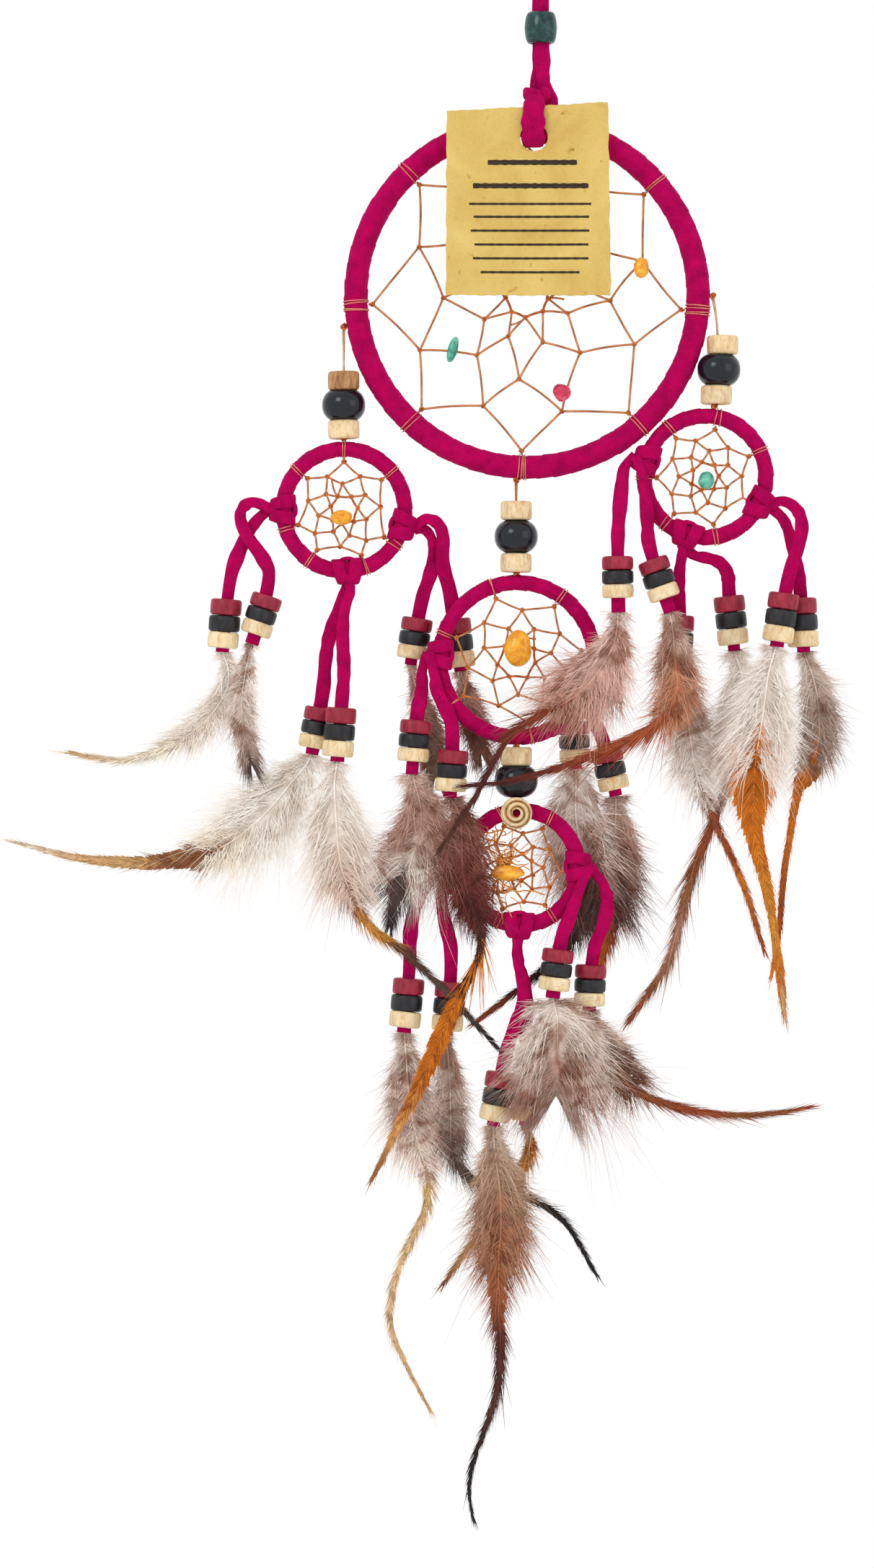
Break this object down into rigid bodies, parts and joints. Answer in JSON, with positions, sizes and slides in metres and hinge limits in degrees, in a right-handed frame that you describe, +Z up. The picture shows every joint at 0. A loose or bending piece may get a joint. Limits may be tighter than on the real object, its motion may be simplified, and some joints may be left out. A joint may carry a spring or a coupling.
{
  "type": "dream catcher",
  "caption": "Hanging dream catcher: a large suede-wrapped hoop with a knotted thread web, smaller webbed hoops on beaded threads below it, and folded laces ending in wooden beads and feathers.",
  "frame": {"origin": "inside top of the hanging loop, where the lace bears on its nail or hook", "axes": "+Z up, +X to the viewer's right, -Y towards the viewer; the hoops lie in the plane y = 0"},
  "size_m": [0.2544, 0.0262, 0.5049],
  "materials": {
    "suede": "soft dyed suede",
    "wire_ring": "plain wire, hidden inside the wrap",
    "waxed_thread": "waxed twisted thread",
    "string_bead": "natural wood discs round a dark glossy ball",
    "wood_bead": "satin dyed and natural wood",
    "drum_bead": "mottled gloss",
    "feather": "natural feather",
    "card": "parchment-coloured card"
  },
  "bodies": {
    "hanger": {"hanging_lace": "suede", "pony_bead": "drum_bead"},
    "main_hoop": {"main_ring": "wire_ring", "main_wrap": "suede", "main_web": "waxed_thread"},
    "tag": {"tag_card": "card", "tag_loop": "suede"},
    "left_string": {"left_thread": "waxed_thread", "left_string_beads": "string_bead"},
    "left_hoop": {"left_hoop_ring": "wire_ring", "left_hoop_wrap": "suede", "left_hoop_web": "waxed_thread"},
    "right_string": {"right_thread": "waxed_thread", "right_string_beads": "string_bead"},
    "right_hoop": {"right_hoop_ring": "wire_ring", "right_hoop_wrap": "suede", "right_hoop_web": "waxed_thread"},
    "middle_string": {"middle_thread": "waxed_thread", "middle_string_beads": "string_bead"},
    "middle_hoop": {"middle_hoop_ring": "wire_ring", "middle_hoop_wrap": "suede", "middle_hoop_web": "waxed_thread"},
    "bottom_string": {"bottom_thread": "waxed_thread", "bottom_string_beads": "string_bead"},
    "bottom_hoop": {"bottom_hoop_ring": "wire_ring", "bottom_hoop_wrap": "suede", "bottom_hoop_web": "waxed_thread"},
    "left_hoop_left_tassel": {"left_hoop_left_laces": "suede", "left_hoop_left_beads": "wood_bead", "left_hoop_left_feathers": "feather"},
    "left_hoop_bottom_tassel": {"left_hoop_bottom_laces": "suede", "left_hoop_bottom_beads": "wood_bead", "left_hoop_bottom_feathers": "feather"},
    "left_hoop_right_tassel": {"left_hoop_right_laces": "suede", "left_hoop_right_beads": "wood_bead", "left_hoop_right_feathers": "feather"},
    "middle_hoop_left_tassel": {"middle_hoop_left_laces": "suede", "middle_hoop_left_beads": "wood_bead", "middle_hoop_left_feathers": "feather"},
    "middle_hoop_right_tassel": {"middle_hoop_right_laces": "suede", "middle_hoop_right_beads": "wood_bead", "middle_hoop_right_feathers": "feather"},
    "right_hoop_left_tassel": {"right_hoop_left_laces": "suede", "right_hoop_left_beads": "wood_bead", "right_hoop_left_feathers": "feather"},
    "right_hoop_bottom_tassel": {"right_hoop_bottom_laces": "suede", "right_hoop_bottom_beads": "wood_bead", "right_hoop_bottom_feathers": "feather"},
    "right_hoop_right_tassel": {"right_hoop_right_laces": "suede", "right_hoop_right_beads": "wood_bead", "right_hoop_right_feathers": "feather"},
    "bottom_hoop_left_tassel": {"bottom_hoop_left_laces": "suede", "bottom_hoop_left_beads": "wood_bead", "bottom_hoop_left_feathers": "feather"},
    "bottom_hoop_bottom_tassel": {"bottom_hoop_bottom_laces": "suede", "bottom_hoop_bottom_beads": "wood_bead", "bottom_hoop_bottom_feathers": "feather"},
    "bottom_hoop_right_tassel": {"bottom_hoop_right_laces": "suede", "bottom_hoop_right_beads": "wood_bead", "bottom_hoop_right_feathers": "feather"}
  },
  "joints": [
    {"name": "main_hoop_swing", "type": "hinge", "parent": "hanger", "child": "main_hoop", "pos_m": [0.0004, 0, -0.0718], "axis": [0, -1, 0], "range_deg": [-8, 8]},
    {"name": "tag_flap", "type": "hinge", "parent": "main_hoop", "child": "tag", "pos_m": [-0.0042, -0.0063, -0.072], "axis": [-1, 0, 0], "range_deg": [0, 60]},
    {"name": "left_string_swing", "type": "hinge", "parent": "main_hoop", "child": "left_string", "pos_m": [-0.06, 0, -0.1396], "axis": [0, -1, 0], "range_deg": [-8, 0]},
    {"name": "left_hoop_swing", "type": "hinge", "parent": "left_string", "child": "left_hoop", "pos_m": [-0.06, 0, -0.17355], "axis": [0, -1, 0], "range_deg": [-8, 4]},
    {"name": "right_string_swing", "type": "hinge", "parent": "main_hoop", "child": "right_string", "pos_m": [0.0523, 0, -0.1302], "axis": [0, -1, 0], "range_deg": [0, 8]},
    {"name": "right_hoop_swing", "type": "hinge", "parent": "right_string", "child": "right_hoop", "pos_m": [0.0528, 0, -0.16385], "axis": [0, -1, 0], "range_deg": [0, 8]},
    {"name": "middle_string_swing", "type": "hinge", "parent": "main_hoop", "child": "middle_string", "pos_m": [-0.0075, 0, -0.1862], "axis": [0, -1, 0], "range_deg": [-6, 6]},
    {"name": "middle_hoop_swing", "type": "hinge", "parent": "middle_string", "child": "middle_hoop", "pos_m": [-0.0075, 0, -0.21475], "axis": [0, -1, 0], "range_deg": [-6, 6]},
    {"name": "bottom_string_swing", "type": "hinge", "parent": "middle_hoop", "child": "bottom_string", "pos_m": [-0.0075, 0, -0.2671], "axis": [0, -1, 0], "range_deg": [-6, 6]},
    {"name": "bottom_hoop_swing", "type": "hinge", "parent": "bottom_string", "child": "bottom_hoop", "pos_m": [-0.0075, 0, -0.28405], "axis": [0, -1, 0], "range_deg": [-6, 6]},
    {"name": "left_hoop_left_swing", "type": "hinge", "parent": "left_hoop", "child": "left_hoop_left_tassel", "pos_m": [-0.0837, 0, -0.1949], "axis": [0, -1, 0], "range_deg": [-10, 5]},
    {"name": "left_hoop_bottom_swing", "type": "hinge", "parent": "left_hoop", "child": "left_hoop_bottom_tassel", "pos_m": [-0.0584, 0, -0.219], "axis": [0, -1, 0], "range_deg": [-7, 6]},
    {"name": "left_hoop_right_swing", "type": "hinge", "parent": "left_hoop", "child": "left_hoop_right_tassel", "pos_m": [-0.0362, 0, -0.1989], "axis": [0, -1, 0], "range_deg": [-10, 10]},
    {"name": "middle_hoop_left_swing", "type": "hinge", "parent": "middle_hoop", "child": "middle_hoop_left_tassel", "pos_m": [-0.03435, 0, -0.2441], "axis": [0, -1, 0], "range_deg": [-10, 6]},
    {"name": "middle_hoop_right_swing", "type": "hinge", "parent": "middle_hoop", "child": "middle_hoop_right_tassel", "pos_m": [0.01505, 0, -0.2549], "axis": [0, -1, 0], "range_deg": [-10, 10]},
    {"name": "right_hoop_left_swing", "type": "hinge", "parent": "right_hoop", "child": "right_hoop_left_tassel", "pos_m": [0.0283, 0, -0.1828], "axis": [0, -1, 0], "range_deg": [-6, 10]},
    {"name": "right_hoop_bottom_swing", "type": "hinge", "parent": "right_hoop", "child": "right_hoop_bottom_tassel", "pos_m": [0.0447, 0, -0.2085], "axis": [0, -1, 0], "range_deg": [-8, 8]},
    {"name": "right_hoop_right_swing", "type": "hinge", "parent": "right_hoop", "child": "right_hoop_right_tassel", "pos_m": [0.0716, 0, -0.19385], "axis": [0, -1, 0], "range_deg": [-8, 6]},
    {"name": "bottom_hoop_left_swing", "type": "hinge", "parent": "bottom_hoop", "child": "bottom_hoop_left_tassel", "pos_m": [-0.0292, 0, -0.3062], "axis": [0, -1, 0], "range_deg": [-10, 2]},
    {"name": "bottom_hoop_bottom_swing", "type": "hinge", "parent": "bottom_hoop", "child": "bottom_hoop_bottom_tassel", "pos_m": [-0.0072, 0, -0.3268], "axis": [0, -1, 0], "range_deg": [-3, 10]},
    {"name": "bottom_hoop_right_swing", "type": "hinge", "parent": "bottom_hoop", "child": "bottom_hoop_right_tassel", "pos_m": [0.0141, 0, -0.3074], "axis": [0, -1, 0], "range_deg": [-5, 7]}
  ]
}
